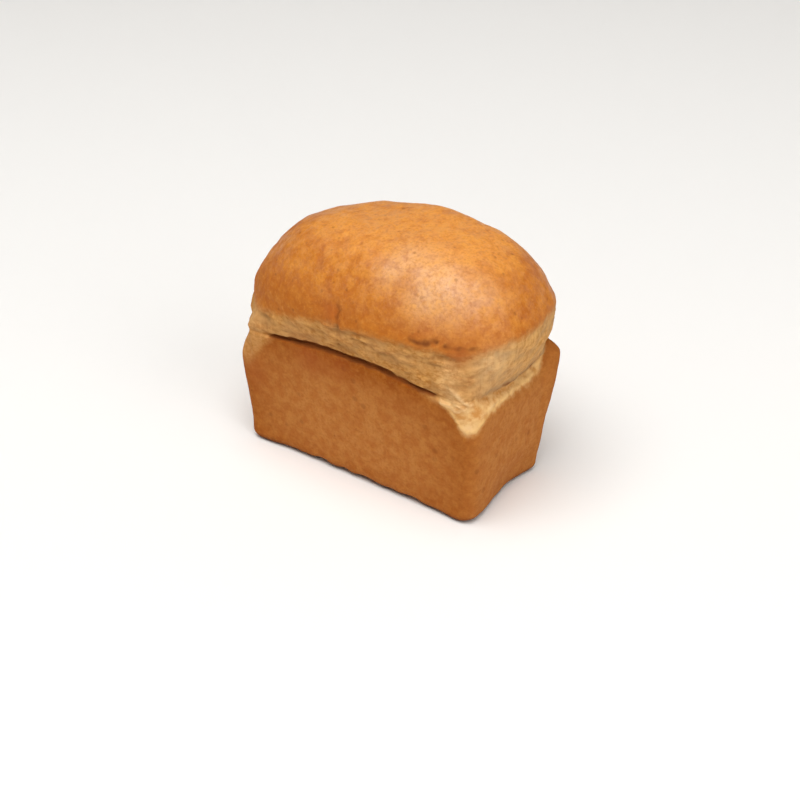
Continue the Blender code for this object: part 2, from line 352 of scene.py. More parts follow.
def tin_ring(plan, z):
    """Ring of the tin-shaped part: the wall leans out with height, its corners
    are drawn in or out, it rolls in over the shoulder, and the tear cuts it by
    depth * exp(-|distance / half|^TEAR_POWER)."""
    s = (z - BASE_EDGE) / (plan.tear - BASE_EDGE)
    lean = (z - BASE_EDGE) / LEAN_HEIGHT
    corner = BASE_CORNER + (RIM_CORNER - BASE_CORNER) * np.clip(lean.mean(), 0.0, 1.2)
    x0, y0 = rounded_box(BASE_LENGTH / 2, BASE_WIDTH / 2, corner)
    x1, y1 = rounded_box(RIM_LENGTH / 2, RIM_WIDTH / 2, corner)
    x, y = x0 + (x1 - x0) * lean, y0 + (y1 - y0) * lean
    push = CORNER_OUT * plan.near_back * ease(s, *CORNER_OUT_RUN)
    push = push * (1.0 - CORNER_BACK_IN * ease(z, *CORNER_BACK_IN_RUN))
    pull = CORNER_IN_NEAR * plan.near_front * ease(z, *CORNER_IN_NEAR_RUN)
    pull = pull + CORNER_IN_FAR * plan.far_front_wide * ease(z, *CORNER_IN_FAR_RUN)
    height = plan.mix(SHOULDER_LONG, SHOULDER_END)
    height = height + (SHOULDER_CORNER - height) * plan.corner * plan.front
    back = plan.mix(SET_BACK_LONG, SET_BACK_END) * ease(z, plan.tear - height, plan.tear + 1.0)
    cut = plan.depth * np.exp(-np.abs((z - plan.tear) / plan.half) ** TEAR_POWER)
    out = push - pull - back - cut
    return foot_hollow(x + plan.nx * out, y + plan.ny * out, z)


def dome_level(fall):
    """Ring of the dome; fall is 1 at the widest level and 0 at the crown."""
    half_x, half_y = DOME_LENGTH / 2, DOME_WIDTH / 2
    power = CROWN_PLAN_POWER + (DOME_PLAN_POWER - CROWN_PLAN_POWER) * fall ** 3
    x, y = dome_ring(half_x * fall + CROWN_RIDGE * (1 - fall) ** 2, half_y * fall, power)
    return x, y, dome_rise(x, y)


def dome_rise(x, y):
    """(1 - reach^CROWN_FALL)^(1 / CROWN_ROUND), where reach is 1 on the
    widest ring and 0 in the middle of the crown."""
    reach = (np.abs(x / (DOME_LENGTH / 2)) ** DOME_PLAN_POWER
             + np.abs(y / (DOME_WIDTH / 2)) ** DOME_PLAN_POWER) ** (1.0 / DOME_PLAN_POWER)
    return np.clip(1.0 - reach ** CROWN_FALL, 0.0, 1.0) ** (1.0 / CROWN_ROUND)


def dome_height(plan, x, y):
    """Height of the dome over a point of its plan: from the widest level up to
    the crown by dome_rise, with the crown's lean and its soft swells."""
    level = plan.widest_height(x, y)
    lean = CROWN_LEAN[0] * x / (DOME_LENGTH / 2) + CROWN_LEAN[1] * y / (DOME_WIDTH / 2)
    for cx, cy, reach, height in SWELLS:
        lean = lean + height * np.exp(-((x - cx) ** 2 + (y - cy) ** 2) / reach ** 2)
    return level + (CROWN_HEIGHT - level + lean) * dome_rise(x, y)


def loaf_rings(plan):
    """Every ring from the base to where the crown grid begins.  Over the pale
    band a ring goes from the tear to the widest level, swelling out by
    1 - (1 - s)^bulge while it rises by s."""
    rings = list(base_rings())
    start = plan.tear - TEAR_SPREAD[0] * plan.half
    stop = plan.tear + TEAR_SPREAD[1] * plan.half
    for i in range(ROWS["wall"]):
        rings.append(tin_ring(plan, BASE_EDGE + (start - BASE_EDGE) * i / ROWS["wall"]))
    for i in range(ROWS["tear"]):
        rings.append(tin_ring(plan, start + (stop - start) * i / (ROWS["tear"] - 1)))
    foot = rings[-1]
    x, y, _ = dome_level(1.0)
    widest = plan.widest_height(x, y)
    x, y = x + DOME_SHIFT[0], y + DOME_SHIFT[1]
    for i in range(1, ROWS["band"] + 1):
        s = i / ROWS["band"]
        swell = 1.0 - (1.0 - s) ** plan.bulge
        rings.append((foot[0] + (x - foot[0]) * swell, foot[1] + (y - foot[1]) * swell,
                      foot[2] + (widest - foot[2]) * s))
    last = math.acos(CROWN_START)
    for i in range(1, ROWS["dome"] + 1):
        x, y, _ = dome_level(math.cos(last * i / ROWS["dome"]))
        rings.append((x + DOME_SHIFT[0], y + DOME_SHIFT[1], dome_height(plan, x, y)))
    return np.array([np.stack(ring, axis=-1) for ring in rings])


def crown_grid(plan, ring):
    """The crown inside the last ring: the ring's four sides are blended across
    the middle (sides added, corners taken off once) for the plan, and the
    dome's own height is worked out over each point."""
    nx, ny = CROWN_GRID
    first = ny // 2
    order = [(first + i) % len(ring) for i in range(len(ring))]
    loop = ring[order][:, :2]
    top = loop[: nx + 1][::-1]
    left = loop[nx: nx + ny + 1][::-1]
    bottom = loop[nx + ny: 2 * nx + ny + 1]
    right = np.concatenate([loop[2 * nx + ny:], loop[:1]])
    u = np.linspace(0.0, 1.0, nx + 1)[None, :, None]
    v = np.linspace(0.0, 1.0, ny + 1)[:, None, None]
    plane = ((1 - v) * bottom[None] + v * top[None]
             + (1 - u) * left[:, None] + u * right[:, None]
             - (1 - u) * (1 - v) * bottom[0] - u * (1 - v) * bottom[-1]
             - (1 - u) * v * top[0] - u * v * top[-1])
    x, y = plane[..., 0], plane[..., 1]
    z = dome_height(plan, x - DOME_SHIFT[0], y - DOME_SHIFT[1])
    return np.stack([x, y, z], axis=-1)


class Skin:
    """Points, faces and painted heights of the whole loaf."""

    def __init__(self, plan):
        rings = loaf_rings(plan)
        rows, count = rings.shape[:2]
        crown = crown_grid(plan, rings[-1])
        inner = crown[1:-1, 1:-1]
        self.points = np.concatenate([rings.reshape(-1, 3), inner.reshape(-1, 3)])
        ring_id = np.arange(rows * count).reshape(rows, count)
        self.faces = np.concatenate([self.wall_faces(ring_id), self.crown_faces(ring_id[-1])])
        self.base = ring_id[0]
        self.tear_rise = self.over(rings, plan.tear, 60.0, inner)
        self.crust_rise = self.over(rings, plan.crust, 40.0, inner)
        self.browned_rise = self.over(rings, plan.browned, 60.0, inner)
        self.column = {name: self.over(rings * 0, -getattr(plan, name), 0.0, inner)
                       for name in ("depth", "half", "near", "far", "back", "front")}
        self.face_middle = self.middle_of_faces()

    @staticmethod
    def over(rings, level, crown_value, inner):
        """Height over a level kept for each column, with one value on the crown."""
        own = (rings[..., 2] - level[None]).reshape(-1)
        return np.concatenate([own, np.full(inner.shape[0] * inner.shape[1], crown_value)])

    def middle_of_faces(self):
        """1 in the middle of each wall, falling to 0 at its corners, rim and foot."""
        x, y, z = self.points.T
        ends = self.column["near"] + self.column["far"]
        long_run = 1.0 - np.abs(x / (RIM_LENGTH / 2)) ** 3
        short_run = 1.0 - np.abs(y / (RIM_WIDTH / 2)) ** 3
        run = long_run + (short_run - long_run) * ends
        return np.clip(run, 0.0, 1.0) * np.clip(1.0 - np.abs((z - 38.0) / 44.0) ** 3, 0.0, 1.0)

    @staticmethod
    def wall_faces(ids):
        """Four-sided faces between neighbouring rings, facing outwards."""
        low, high = ids[:-1], ids[1:]
        return np.stack([low, np.roll(low, -1, 1), np.roll(high, -1, 1), high], -1).reshape(-1, 4)

    @staticmethod
    def crown_faces(ring):
        """Faces of the crown grid; its border is the last ring's own points."""
        nx, ny = CROWN_GRID
        ids = np.zeros((ny + 1, nx + 1), dtype=int)
        start = ring[0] + len(ring)
        ids[1:-1, 1:-1] = start + np.arange((ny - 1) * (nx - 1)).reshape(ny - 1, nx - 1)
        loop = np.roll(ring, -(ny // 2))
        ids[-1] = loop[: nx + 1][::-1]
        ids[:, 0] = loop[nx: nx + ny + 1][::-1]
        ids[0] = loop[nx + ny: 2 * nx + ny + 1]
        ids[:, -1] = np.concatenate([loop[2 * nx + ny:], loop[:1]])
        return np.stack([ids[:-1, :-1], ids[:-1, 1:], ids[1:, 1:], ids[1:, :-1]],
                        -1).reshape(-1, 4)

    def directions(self):
        """Outward direction at each point: the mean of its faces' own."""
        p = self.points[self.faces]
        facing = np.cross(p[:, 2] - p[:, 0], p[:, 3] - p[:, 1])
        total = np.zeros_like(self.points)
        for corner in range(4):
            for axis in range(3):
                total[:, axis] += np.bincount(self.faces[:, corner], facing[:, axis],
                                              len(self.points))
        return total / (np.linalg.norm(total, axis=1, keepdims=True) + 1e-12)


# --- unevenness --------------------------------------------------------------
# kinds of noise: size of its cells, seed, height
SWELLING, RIPPLES, DIMPLES, PORES = ((36.0, 31, 0.50), (11.0, 41, 0.24), (6.0, 46, 0.13),
                                     (3.6, 51, 0.09))
LUMPS, LEVEL_CREASES, UPRIGHT_STRANDS = (((11.0, 11.0, 7.0), 71, 0.90),
                                         ((13.0, 13.0, 2.8), 61, 0.75),
                                         ((3.0, 3.0, 13.0), 66, 0.32))
# folds: spots along the fold, depth, half its width, how much painted shade it gets
CREASE = ((-4.5, -44.5, 121), (-3.2, -47.0, 115), (-2.6, -47.8, 109), (-3.4, -46.5, 101),
          (-6.0, -44.0, 93))
SIDE_TEAR = ((4, -45.9, 103.5), (8, -46.2, 102.5), (15, -46.3, 102.3), (25, -46.2, 100.4),
             (33, -45.9, 99.8))
CURL = ((43.6, -45.4, 115.2), (47, -45.0, 113.8), (51.5, -44.3, 113.4), (55.6, -43.1, 114.4),
        (58.6, -42, 116.4))
CURL_TIP = ((52, -44.3, 113.6), (55.6, -43.1, 114.6), (57.6, -42.4, 115.9))
OVERLAP = ((63.5, -41, 114.2), (68.5, -39, 113.7), (73.3, -36.7, 113.7), (79, -33, 114.4))
NICKS = (((30, -46, 100.6), (34, -45.8, 100.0)), ((57.5, -43.2, 106.3), (62, -41.8, 105.7)),
         ((73.5, -40, 97.6), (78, -37.5, 96.6)))
FOLDS = ((CREASE, 1.4, 1.5, 0.5), (SIDE_TEAR, 0.9, 1.5, 0.45), (CURL, 0.6, 1.4, 0.7),
         (CURL_TIP, 0.6, 2.0, 0.7), (OVERLAP, 0.7, 1.7, 0.65)) + tuple(
             (path, 0.7, 1.5, 0.5) for path in NICKS)
# pale threads of crumb over the torn corner, and along the near end's shoulder
THREAD_HALF, THREAD_HEIGHT = 1.15, 1.1
STRANDS = (((67.8, -43.0, 91.8), (71.5, -42.8, 89.4), (74.3, -41.8, 87.0), (76.8, -40.0, 84.6),
            (78.8, -38.0, 82.4)),
           ((63, -43, 81.6), (69, -43, 80.8), (73.5, -42.2, 78.6)),
           ((71.5, -42.6, 84.5), (75, -41.6, 81.5), (77.6, -39.6, 78.6)),
           ((82.5, -33, 75), (83.5, -25, 76.2), (83.2, -15, 75.6), (82.4, -2, 74.4),
            (82.3, 10, 74), (82.6, 20, 74.6)))
# small round pits, with painted shade in them: place, reach, depth
PITS = ((-14.3, -38.8, 26.3, 0.9, 0.8), (83.4, -14.3, 49.5, 1.1, 0.9),
        (28.2, -39.8, 38.2, 0.9, 0.7), (-3.8, -23.7, 148.0, 1.1, 0.5),
        (12.8, -33.4, 142.1, 0.9, 0.4),
        (-11.2, -43.2, 126.1, 0.9, 0.5), (6.1, -44.5, 123.6, 0.9, 0.5))
# soft marks: place, reach, strength
BLUSHES = ((-8.6, -47.0, 115.5, 7.0, 0.8), (71, -38.0, 110.5, 6.5, 0.9), (-27, -42.8, 77, 11, 0.8),
           (-5, -43.0, 79, 9, 0.5), (-72, -40.8, 52, 12, 0.6), (52, -45, 118, 6, 0.3))
# pale spots, same columns: torn crumb at the near corner and the ends, and a painted highlight of
# the sheen on the dome's crown
PALE_CRUMB_AND_SHEEN_SPOTS = ((79.0, -40.4, 68.5, 4.5, 0.7), (67, -41.5, 100, 7, 0.35), (69, -42.6, 86.5, 4.5, 0.4),
          (74, -42.2, 83.5, 4.0, 0.4), (77.5, -39.8, 80.5, 3.0, 0.3), (65, -42.6, 92, 5, 0.25),
          (85.5, -26.0, 105, 11, 0.5), (-73, -41.0, 88, 7, 0.3), (27, -23.5, 149, 12, 0.42),
          (50, -29, 143, 18, 0.52), (63, -31, 134, 13, 0.35), (21, -34.5, 141, 8, 0.42),
          (75, -19, 138, 10, 0.3), (45, -37.5, 134, 9, 0.35))
# painted shade over the groove above the near end's tear, same columns
SHADES = ((81.5, -29, 86.5, 6.5, 1.0), (79, -36, 88, 4, 0.6), (84, -14, 83, 6, 0.6))
# where the loaf sank or stood out a little: place, reach, height
SETTLES = ((-18, 17, 151, 18, -1.9), (6, 33, 150.5, 13, 1.2), (38, 23, 154.5, 13, -1.5),
           (54, 22, 151, 12, -0.6), (-62, -24, 129, 13, -1.2), (-80, -31, 88, 8, -0.4),
           (-42, 22, 144, 12, -1.1), (-75, -16, 122, 10, -0.8), (78, 34, 129, 9, 0.7),
           (88, 30, 109, 8, 0.5), (-79, -26, 102, 8, 1.3), (-82, -33, 70, 8, -0.9),
           (-80.5, -38.5, 48, 20, 0.7), (-77, -36, 3, 9, 1.1),
           (78, -33, 3, 7, -0.9), (79, -22, 4, 7, -0.6), (76, -2, 4, 7, 0.8),
           (81, 34.5, 20, 10, 0.8), (-60, 1, 138, 8, 0.8), (37, 36, 148, 8, -0.6),
           (71, -37.5, 2, 7, 0.9), (-64, -37, 2, 10, 0.9))
# where the foot of the front wall curls up: place along it, reach, height
BASE_BITES = ((-27.0, 5.0, 1.9), (-9.0, 4.0, 1.3), (6.0, 9.0, 1.1), (24.0, 4.0, 0.5),
              (38.0, 7.0, 1.2))


def marks(points, spots):
    """Sum of soft round marks: strength * exp(-(distance / reach) squared)."""
    total = np.zeros(len(points))
    for x, y, z, reach, strength in spots:
        total += strength * np.exp(-(np.linalg.norm(points - (x, y, z), axis=1) / reach) ** 2)
    return total


def bumps(points, kind):
    """Noise of one kind: height * two layers of grain."""
    size, seed, height = kind
    return height * layered(points, size, seed, 2)


def band_relief(skin, points):
    """Torn dough: lumps, with level creases along the sides and upright strands
    over the ends, all quieter at the far front corner."""
    ends = skin.column["near"] + skin.column["far"]
    far_corner = ease(-points[:, 0], 58.0, 74.0) * ease(-points[:, 1], 24.0, 34.0)
    torn = bumps(points, LUMPS) + bumps(points, LEVEL_CREASES) * (1.0 - 0.7 * ends)
    torn = torn + bumps(points, UPRIGHT_STRANDS) * (0.25 + ends)
    return torn * (1.0 - 0.8 * far_corner)


def pressed_folds(points, wander, broken):
    """Depth and painted shade of folds, exp(-(distance / half width)^2) broken up
    along their length, and of the small round pits."""
    depth, dark = np.zeros(len(points)), np.zeros(len(points))
    for path, deep, wide, tone in FOLDS:
        near = np.exp(-(off_path(wander, path) / wide) ** 2)
        depth += deep * near * (0.4 + 0.6 * broken)
        dark = np.maximum(dark, tone * near * broken)
    for x, y, z, wide, deep in PITS:
        near = np.exp(-(np.linalg.norm(points - (x, y, z), axis=1) / wide) ** 2)
        depth += deep * near
        dark = np.maximum(dark, 0.5 * near)
    return depth, dark


def crumb_threads(wander):
    """Threads of crumb: exp(-(distance / THREAD_HALF)^2) about each path."""
    thread = np.zeros(len(wander))
    for path in STRANDS:
        thread = np.maximum(thread, np.exp(-(off_path(wander, path) / THREAD_HALF) ** 2))
    return thread


def tear_darkness(skin, broken):
    """Painted shade in the tear: exp(-|distance / (1.35 half)|^3) on the long sides
    where it is deep, and a thin broken line of shade under the band at the near end."""
    inside = skin.tear_rise + 0.3 + 0.45 * layered(skin.points, (4.5, 4.5, 4.5), 97, 2)
    cut = np.exp(-np.abs(inside / (1.35 * skin.column["half"])) ** 3)
    long_side = skin.column["front"] + skin.column["back"]
    slit = cut * long_side * ease(skin.column["depth"], 1.0, 2.6)
    under = ease(skin.points[:, 1], -22.0, -6.0) * hill(skin.tear_rise, 2.2, 1.5)
    return np.maximum(slit, 0.6 * skin.column["near"] * under * broken)


def band_hollow_shade(skin, torn, band):
    """How much painted shade a spot of the torn band gets: where its relief is low,
    along the groove above the near end's tear, and at the marked shades."""
    hollow_shade = np.clip(0.30 - 0.8 * torn, 0.0, 1.0) * band
    groove = ease(skin.points[:, 1], -38.0, -24.0) * hill(skin.tear_rise, 3.5, 3.2)
    hollow_shade = np.maximum(hollow_shade, 1.2 * skin.column["near"] * groove)
    return np.maximum(hollow_shade, 0.5 * marks(skin.points, SHADES))


def uneven(skin):
    """How far each point moves out of the plain form, in millimetres, and the
    marks painted there: painted shade in folds, pits and the tear, painted shade
    in the band's hollows, and how pale a spot is, from pale crumb and from the
    painted highlight of the dome's sheen.
    The move is a sum of noises, marks, folds, threads and the lips of the tear
    and the crust; it dies out on the flat base."""
    p = skin.points
    wander = p + 0.9 * np.stack([layered(p, 5.0, 90 + i, 2) for i in range(3)], -1)
    broken = np.clip(0.9 + 0.9 * layered(p, 6.0, 99, 2), 0.45, 1.2)
    wall = 1.0 - ease(skin.tear_rise, -3.0, 0.0)
    dome = ease(skin.crust_rise, -2.0, 1.0)
    band = (1.0 - wall) * (1.0 - dome)
    torn = band_relief(skin, p)

    out = marks(p, SETTLES) + bumps(p, SWELLING) * (0.55 + 0.45 * (1 - wall))
    out += bumps(p, RIPPLES) * (0.6 + 0.5 * dome)
    out += bumps(p, DIMPLES) * dome
    out += bumps(p, PORES) * (0.8 + 0.4 * dome)
    out += band * torn
    lip = 0.15 + 0.55 * ease(p[:, 0], -20.0, 40.0)
    out += lip * (hill(skin.crust_rise, 2.5, 4.0) - 0.8 * hill(skin.crust_rise, -2.5, 2.0))
    out += 0.18 * wall * skin.column["front"] * hill(skin.tear_rise, -2.4, 1.1)
    crease_side = hill(p[:, 0], -7.5, 4.0) * skin.column["front"] * ease(p[:, 2], 96, 104)
    out += 0.5 * crease_side * (1.0 - ease(p[:, 2], 112, 122))
    depth, dark = pressed_folds(p, wander, broken)
    thread = crumb_threads(wander)
    out += THREAD_HEIGHT * thread - depth
    out *= ease(p[:, 2], 0.0, 2.0)

    # painted shade in the tear
    dark = np.maximum(dark, tear_darkness(skin, broken))
    # pale crumb, and the painted highlight of the dome's sheen
    pale_crumb_and_sheen = np.maximum(marks(p, PALE_CRUMB_AND_SHEEN_SPOTS), thread)
    return out, dark, band_hollow_shade(skin, torn, band), pale_crumb_and_sheen


def base_lift(p):
    """Height by which the foot of the front wall curls up off the table: noise
    and bites exp(-|distance / reach|^3), only along the front's foot."""
    front = ease(-p[:, 1], 26.0, 33.0) * (1.0 - ease(p[:, 2], 4.0, 16.0))
    front = front * ease(p[:, 0], -68.0, -48.0) * (1.0 - ease(p[:, 0], 50.0, 66.0))
    lift = 0.7 + 0.5 * layered(p * (1, 0, 0), 9.0, 95, 2)
    for x, reach, height in BASE_BITES:
        lift = lift + height * np.exp(-np.abs((p[:, 0] - x) / reach) ** 3)
    return front * np.clip(lift, 0.0, 2.2)


def loaf_mesh(name, skin, centre):
    """The skin as a mesh in metres, with its painted heights as attributes; the
    innermost ring of the base is closed by strips across it."""
    out, dark, hollow_shade, pale_crumb_and_sheen = uneven(skin)
    points = skin.points + skin.directions() * out[:, None]
    points[:, 2] += base_lift(points)
    points = from_mm(points - centre)
    base = skin.base.tolist()
    count = len(base)
    faces = skin.faces.tolist()
    for i in range(count // 2):
        loop = [base[(count - i) % count], base[(count - i - 1) % count], base[i + 1], base[i]]
        faces.append(list(dict.fromkeys(loop)))
    mesh = bpy.data.meshes.new(name)
    mesh.from_pydata(points.tolist(), [], faces)
    mesh.polygons.foreach_set("use_smooth", np.ones(len(mesh.polygons), dtype=bool))
    # the attributes carry painted shade: in the tear, folds and pits, and in the band's hollows
    for label, values in (("tear_rise", skin.tear_rise), ("crust_rise", skin.crust_rise),
                          ("browned_rise", skin.browned_rise), ("dark", dark),
                          ("hollow_shade", hollow_shade), ("blush", marks(skin.points, BLUSHES)),
                          ("pale_crumb_and_sheen", pale_crumb_and_sheen),
                          ("near_end", skin.column["near"]), ("far_end", skin.column["far"]),
                          ("face_middle", skin.face_middle),
                          ("near", ease(skin.points[:, 0], 54.0, 68.0))):
        mesh.attributes.new(label, "FLOAT", "POINT").data.foreach_set(
            "value", values.astype(np.float32))
    mesh.update()
    mesh.validate()
    return mesh


# --- materials ---------------------------------------------------------------
FLECK_CORE, FLECK_RIM = 0.16, 0.42        # parts of a cell between which a fleck fades
BUMP_STRENGTH, BUMP_DEPTH = 0.6, 0.0009
CRUMB_ROUGHNESS, CRUST_SMOOTHER = 0.85, 0.2
CRUST_SPECULAR, SHEEN_ROUGHNESS, FLOOR_ROUGHNESS = 0.1, 0.45, 0.8


def srgb(red, green, blue):
    """A colour given from 0 to 255 as light values from 0 to 1."""
    def light(c):
        c = c / 255.0
        return c / 12.92 if c <= 0.04045 else ((c + 0.055) / 1.055) ** 2.4
    return (light(red), light(green), light(blue), 1.0)


# the wall that browned against the tin: pairs are a darker and a lighter tone
WALL_EDGE = srgb(149, 74, 13), srgb(163, 89, 23)
WALL_MIDDLE = srgb(178, 107, 48), srgb(192, 126, 64)
WALL_NEAR_END, WALL_SPECK = srgb(190, 122, 60), srgb(196, 128, 56)
WALL_GRAIN, WALL_FLECK = srgb(140, 74, 22), srgb(120, 62, 24)
# the pale shoulder between the browned wall and the tear, and the torn corner
SHOULDER = srgb(180, 120, 58), srgb(204, 148, 86)
TORN_CORNER = srgb(204, 141, 74), srgb(230, 184, 122)
TORN_EDGE_PALE_AND_LIT, SHOULDER_BLOOM = srgb(248, 202, 130), srgb(240, 200, 146)
# the torn band above the tear
BAND = srgb(176, 114, 50), srgb(211, 155, 86)
BAND_BLOTCH, BAND_NEAR_END = srgb(200, 149, 84), srgb(240, 190, 122)
BAND_BLOOM, BAND_BROAD = srgb(240, 202, 150), srgb(204, 158, 110)
# painted shade for the band's hollows, greyer at the near end
BAND_HOLLOW_SHADE = srgb(146, 104, 62), srgb(160, 130, 98)
# the dome's crust, with the pale colour of a painted highlight where its sheen lies
DOME = srgb(184, 102, 30), srgb(204, 126, 44)
DOME_LOW, DOME_TOP, DOME_PAINTED_SHEEN = srgb(182, 104, 32), srgb(234, 156, 72), srgb(236, 188, 138)
DOME_BRIGHT, DOME_DARK = srgb(228, 155, 66), srgb(164, 84, 24)
DOME_SPECK, DOME_GRAIN, DOME_FLECK = srgb(231, 164, 82), srgb(164, 88, 32), srgb(120, 60, 24)
# over all of them: a reddish blush, a darker foot, and painted shade in the tear, folds and pits
BLUSH, FOOT_BAKE_AND_SHADOW, PAINTED_CREASE_SHADE = srgb(166, 84, 38), srgb(98, 46, 16), srgb(126, 68, 27)
PALE_FLOOR, STUDIO_WHITE = (0.92, 0.905, 0.88, 1.0), (1.0, 0.985, 0.96, 1.0)


class Flow:
    """One socket of a material, so that sums read as plain arithmetic."""

    def __init__(self, finish, socket):
        self.finish, self.socket = finish, socket

    def __add__(self, other):
        return self.finish.sum("ADD", self, other)

    def __sub__(self, other):
        return self.finish.sum("SUBTRACT", self, other)

    def __rsub__(self, other):
        return self.finish.sum("SUBTRACT", other, self)

    def __mul__(self, other):
        return self.finish.sum("MULTIPLY", self, other)

    __radd__, __rmul__ = __add__, __mul__


class Finish:
    """A material being put together."""

    def __init__(self, name):
        self.material = bpy.data.materials.new(name)
        self.material.use_nodes = True
        self.tree = self.material.node_tree
        self.tree.nodes.clear()

    def node(self, kind, settings=None, out=0, **sockets):
        """A node with its settings made first, then its sockets set or linked;
        a socket is given by name, or as i and its number."""
        node = self.tree.nodes.new("ShaderNode" + kind)
        for key, value in (settings or {}).items():
            setattr(node, key, value)
        for key, value in sockets.items():
            index = int(key[1:]) if key[0] == "i" and key[1:].isdigit() else key.replace("_", " ")
            socket = node.inputs[index]
            if isinstance(value, Flow):
                self.tree.links.new(value.socket, socket)
            else:
                socket.default_value = value
        return Flow(self, node.outputs[out]) if len(node.outputs) else node

    def sum(self, operation, a, b):
        """A Math node on two values."""
        return self.node("Math", {"operation": operation}, i0=a, i1=b)

    def painted(self, name):
        """A height kept on the skin, in millimetres."""
        return self.node("Attribute", {"attribute_name": name}, out=2)

    def step(self, value, low, high):
        """Smooth step from 0 to 1 as value goes from low to high."""
        return self.node("MapRange", {"interpolation_type": "SMOOTHSTEP"},
                         i0=value, i1=low, i2=high)

    def place(self, scale=(1.0, 1.0, 1.0)):
        """Object coordinates in metres, stretched."""
        own = self.node("TexCoord", out=3)
        return self.node("Mapping", Vector=own, Scale=scale)

    def noise(self, place, size, detail=3.0, rough=0.5):
        """Noise whose cells are about size millimetres."""
        return self.node("TexNoise", Vector=place, Scale=1000.0 / size, Detail=detail,
                         Roughness=rough)

    def cells(self, place, size, out):
        """Cells about size millimetres: out 0 is the distance to the nearest
        cell's middle, and out 1 is a colour that the whole cell shares."""
        return self.node("TexVoronoi", {"feature": "F1"}, out=out, Vector=place,
                         Scale=1000.0 / size)

    def blend(self, amount, a, b):
        """From colour a to colour b by amount."""
        return self.node("Mix", {"data_type": "RGBA", "clamp_factor": True},
                         out=2, i0=amount, i6=a, i7=b)

    def finished(self, **sockets):
        """The material with its one shader."""
        shader = self.node("BsdfPrincipled", **sockets)
        self.node("OutputMaterial", Surface=shader)
        return self.material


def flecks(f, place, size, keep):
    """Spots about size millimetres across, in the given share of the cells."""
    spot = 1.0 - f.step(f.cells(place, size, 0), FLECK_CORE, FLECK_RIM)
    pick = f.node("SeparateColor", i0=f.cells(place, size, 1))
    return spot * f.step(pick, 1.0 - keep - 0.02, 1.0 - keep + 0.02)


class CrustGrain:
    """The noises and the heights kept on the skin that the colours share."""

    def __init__(self, f):
        self.place = f.place()
        self.height = f.node("SeparateXYZ", out=2, i0=self.place) * 1000.0
        self.tear, self.crust = f.painted("tear_rise"), f.painted("crust_rise")
        self.browned, self.face_middle = f.painted("browned_rise"), f.painted("face_middle")
        # painted shade: in the tear, folds and pits, and in the band's hollows
        self.dark, self.hollow_shade = f.painted("dark"), f.painted("hollow_shade")
        # pale crumb, and the dome's painted highlight of sheen
        self.blush, self.pale_crumb_and_sheen = f.painted("blush"), f.painted("pale_crumb_and_sheen")
        self.near_end, self.far_end = f.painted("near_end"), f.painted("far_end")
        self.near = f.painted("near")
        self.ragged = f.noise(self.place, 4.0, 4.0, 0.6) - 0.5
        self.broad = f.noise(self.place, 24.0, 2.0)
        self.blotch = f.noise(self.place, 6.0, 3.0, 0.6)
        self.speck = f.noise(self.place, 2.6, 3.0, 0.65)
        self.fine = f.noise(self.place, 1.6, 2.0, 0.6)
        self.crumb = f.noise(f.place(scale=(0.7, 0.7, 1.1)), 2.4, 3.0, 0.65)
        self.upright = f.noise(f.place(scale=(1.0, 1.0, 0.25)), 2.0, 3.0, 0.6)
        self.pale_spots = self.pale_crumb_and_sheen * (0.45 + f.step(self.crumb, 0.35, 0.65) * 0.45)


def wall_colour(f, g):
    """Darker at the wall's edges, paler in its middle and on the near end."""
    tone = f.step(g.blotch, 0.34, 0.68)
    wall = f.blend(tone, *WALL_EDGE)
    wall = f.blend(g.near_end * 0.6, wall, WALL_NEAR_END)
    wall = f.blend(g.face_middle, wall, f.blend(tone, *WALL_MIDDLE))
    wall = f.blend(f.step(g.speck, 0.42, 0.72) * 0.3, wall, WALL_SPECK)
    wall = f.blend((1.0 - f.step(g.fine, 0.25, 0.58)) * 0.3, wall, WALL_GRAIN)
    return f.blend(flecks(f, g.place, 6.0, 0.06) * 0.35, wall, WALL_FLECK)


def shoulder_colour(f, g):
    """Pale dough under the tear; at the near corner torn tufts of crumb with a
    brighter edge where they meet the browned wall: paler dough, and a painted
    highlight along the rounded edge."""
    shoulder = f.blend(f.step(g.speck, 0.3, 0.7), *SHOULDER)
    tufts = g.crumb * 0.35 + g.blotch * 0.65
    torn = f.blend(f.step(tufts, 0.38, 0.62), *TORN_CORNER)
    edge = f.step(g.browned, 0.0, 1.4) * (1.0 - f.step(g.browned, 2.0, 6.0))
    # brighter edge: paler dough with a painted highlight along the rounded rim edge
    torn = f.blend(edge * (0.25 + f.step(tufts, 0.36, 0.60) * 0.45), torn, TORN_EDGE_PALE_AND_LIT)
    shoulder = f.blend(g.near, shoulder, torn)
    return f.blend(g.pale_spots, shoulder, SHOULDER_BLOOM)


def band_colour(f, g):
    """Torn crumb, drawn out into upright strands over the ends."""
    strands = g.crumb + (g.upright - g.crumb) * (g.near_end + g.far_end) * 0.6
    band = f.blend(f.step(strands, 0.33, 0.67), *BAND)
    band = f.blend(f.step(g.blotch, 0.38, 0.66) * 0.5, band, BAND_BLOTCH)
    band = f.blend(g.near_end * 0.4 * f.step(strands, 0.3, 0.6), band, BAND_NEAR_END)
    band = f.blend(g.pale_spots, band, BAND_BLOOM)
    band = f.blend(f.step(g.broad, 0.38, 0.66) * 0.25, band, BAND_BROAD)
    # painted shade in the band's hollows and along the near end's groove
    return f.blend(g.hollow_shade * 0.5, band, f.blend(g.near_end, *BAND_HOLLOW_SHADE))


